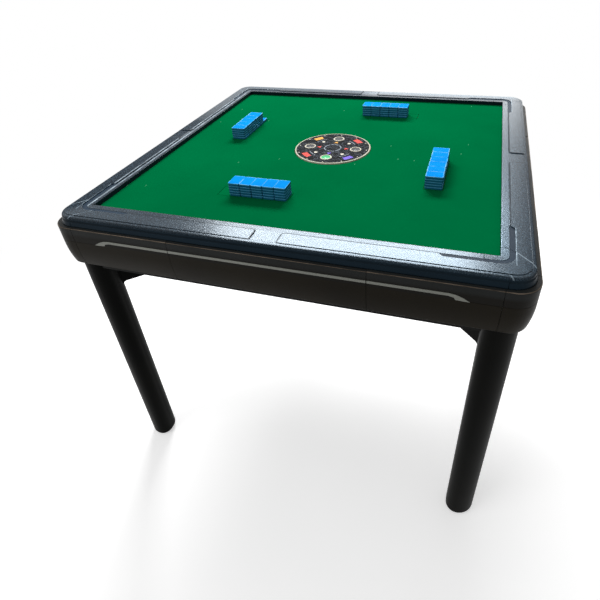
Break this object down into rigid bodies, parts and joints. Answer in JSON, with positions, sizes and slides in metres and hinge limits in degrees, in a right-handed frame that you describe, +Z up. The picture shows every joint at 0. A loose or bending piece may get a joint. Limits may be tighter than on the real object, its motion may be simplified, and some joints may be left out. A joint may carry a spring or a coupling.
{
  "type": "automatic okey table",
  "caption": "Square four-legged okey table with a padded moulded rim, felt field, rising tile lifts, centre console, drawers and a shuffling turntable inside.",
  "frame": {"origin": "on the floor under the middle of the table", "axes": "+Z up; -Y is the front, the side nearest to the picture's viewer; +X is the right-hand side"},
  "size_m": [0.9816, 0.9816, 0.7884],
  "materials": {
    "rim_plastic": "dark slate moulding with a fine metallic sparkle",
    "inlay_plastic": "smoked gloss",
    "skirt_plastic": "brown-black satin",
    "strip_plastic": "satin grey",
    "leg_plastic": "near-black satin",
    "glide_rubber": "matt",
    "bolt_steel": "zinc plated",
    "chassis_paint": "black powder coat",
    "sheet_steel": "galvanised sheet",
    "board_wood": "fibreboard",
    "felt": "green felt",
    "lift_board": "felt-covered board",
    "tile_plastic": "azure blue",
    "channel_plastic": "white moulding",
    "pusher_plastic": "red moulding",
    "guide_plastic": "grey moulding",
    "column_plastic": "dark grey moulding",
    "panel_plastic": "black with a cream border",
    "key_plastic": "black with a pale rim",
    "turntable_plastic": "dark grey moulding",
    "motor_steel": "plain steel case",
    "pulley_alloy": "turned",
    "belt_rubber": "matt",
    "box_plastic": "light grey moulding",
    "rocker_plastic": "red"
  },
  "bodies": {
    "table": {"leg_front_left": "leg_plastic", "leg_front_right": "leg_plastic", "leg_back_left": "leg_plastic", "leg_back_right": "leg_plastic", "leg_glides": "glide_rubber", "leg_bolts": "bolt_steel", "chassis_frame": "chassis_paint", "base_pan": "chassis_paint", "inner_frame": "sheet_steel", "rim_front": "rim_plastic", "skirt_front": "skirt_plastic", "rim_right": "rim_plastic", "skirt_right": "skirt_plastic", "rim_back": "rim_plastic", "skirt_back": "skirt_plastic", "rim_left": "rim_plastic", "skirt_left": "skirt_plastic", "rim_corners": "rim_plastic", "rim_inlays": "inlay_plastic", "skirt_corners": "skirt_plastic", "skirt_strips": "strip_plastic", "table_board": "board_wood", "playing_felt": "felt", "drawer_runners": "sheet_steel", "lift_units": "bolt_steel", "tile_channels": "channel_plastic", "console_guide": "guide_plastic", "bowl_wall": "channel_plastic", "shuffle_motor": "motor_steel", "drive_belt": "belt_rubber", "control_box": "box_plastic"},
    "drawer_front": {"drawer_front": "skirt_plastic", "drawer_strip_front": "strip_plastic"},
    "lift_front": {"lift_front": "lift_board", "tiles_front": "tile_plastic"},
    "pusher_front": {"pusher_front": "pusher_plastic"},
    "key_front": {"key_front": "key_plastic"},
    "drawer_right": {"drawer_right": "skirt_plastic", "drawer_strip_right": "strip_plastic"},
    "lift_right": {"lift_right": "lift_board", "tiles_right": "tile_plastic"},
    "pusher_right": {"pusher_right": "pusher_plastic"},
    "key_right": {"key_right": "key_plastic"},
    "drawer_back": {"drawer_back": "skirt_plastic", "drawer_strip_back": "strip_plastic"},
    "lift_back": {"lift_back": "lift_board", "tiles_back": "tile_plastic"},
    "pusher_back": {"pusher_back": "pusher_plastic"},
    "key_back": {"key_back": "key_plastic"},
    "drawer_left": {"drawer_left": "skirt_plastic", "drawer_strip_left": "strip_plastic"},
    "lift_left": {"lift_left": "lift_board", "tiles_left": "tile_plastic"},
    "pusher_left": {"pusher_left": "pusher_plastic"},
    "key_left": {"key_left": "key_plastic"},
    "console": {"console_column": "column_plastic", "console_panel": "panel_plastic"},
    "turntable": {"turntable": "turntable_plastic"},
    "motor_pulley": {"motor_pulley": "pulley_alloy"},
    "power_rocker": {"power_rocker": "rocker_plastic"}
  },
  "joints": [
    {"name": "drawer_front_slide", "type": "slide", "parent": "table", "child": "drawer_front", "axis": [0, -1, 0], "range_m": [0, 0.095]},
    {"name": "drawer_right_slide", "type": "slide", "parent": "table", "child": "drawer_right", "axis": [1, 0, 0], "range_m": [0, 0.095]},
    {"name": "drawer_back_slide", "type": "slide", "parent": "table", "child": "drawer_back", "axis": [0, 1, 0], "range_m": [0, 0.095]},
    {"name": "drawer_left_slide", "type": "slide", "parent": "table", "child": "drawer_left", "axis": [-1, 0, 0], "range_m": [0, 0.095]},
    {"name": "lift_front_slide", "type": "slide", "parent": "table", "child": "lift_front", "axis": [0, 0, 1], "range_m": [-0.046, 0]},
    {"name": "lift_right_slide", "type": "slide", "parent": "table", "child": "lift_right", "axis": [0, 0, 1], "range_m": [-0.046, 0]},
    {"name": "lift_back_slide", "type": "slide", "parent": "table", "child": "lift_back", "axis": [0, 0, 1], "range_m": [-0.046, 0]},
    {"name": "lift_left_slide", "type": "slide", "parent": "table", "child": "lift_left", "axis": [0, 0, 1], "range_m": [-0.046, 0]},
    {"name": "pusher_front_slide", "type": "slide", "parent": "table", "child": "pusher_front", "axis": [-1, 0, 0], "range_m": [0, 0.195]},
    {"name": "pusher_right_slide", "type": "slide", "parent": "table", "child": "pusher_right", "axis": [0, -1, 0], "range_m": [0, 0.195]},
    {"name": "pusher_back_slide", "type": "slide", "parent": "table", "child": "pusher_back", "axis": [1, 0, 0], "range_m": [0, 0.195]},
    {"name": "pusher_left_slide", "type": "slide", "parent": "table", "child": "pusher_left", "axis": [0, 1, 0], "range_m": [0, 0.195]},
    {"name": "console_slide", "type": "slide", "parent": "table", "child": "console", "axis": [0, 0, 1], "range_m": [0, 0.06]},
    {"name": "key_front_press", "type": "slide", "parent": "console", "child": "key_front", "axis": [0, 0, 1], "range_m": [-0.0015, 0], "stiffness_N_per_m": 400, "springref_m": 0.001},
    {"name": "key_right_press", "type": "slide", "parent": "console", "child": "key_right", "axis": [0, 0, 1], "range_m": [-0.0015, 0], "stiffness_N_per_m": 400, "springref_m": 0.001},
    {"name": "key_back_press", "type": "slide", "parent": "console", "child": "key_back", "axis": [0, 0, 1], "range_m": [-0.0015, 0], "stiffness_N_per_m": 400, "springref_m": 0.001},
    {"name": "key_left_press", "type": "slide", "parent": "console", "child": "key_left", "axis": [0, 0, 1], "range_m": [-0.0015, 0], "stiffness_N_per_m": 400, "springref_m": 0.001},
    {"name": "turntable_spin", "type": "hinge", "parent": "table", "child": "turntable", "pos_m": [0, 0, 0.6685], "axis": [0, 0, 1], "continuous": true},
    {"name": "motor_pulley_spin", "type": "hinge", "parent": "table", "child": "motor_pulley", "pos_m": [0.283, 0.283, 0.66], "axis": [0, 0, 1], "continuous": true},
    {"name": "power_rocker_tilt", "type": "hinge", "parent": "table", "child": "power_rocker", "pos_m": [-0.315, -0.33, 0.6395], "axis": [1, 0, 0], "range_deg": [-16, 0]}
  ],
  "couplings": [
    {"joint": "motor_pulley_spin", "follows": "turntable_spin", "ratio": 3.8571}
  ]
}
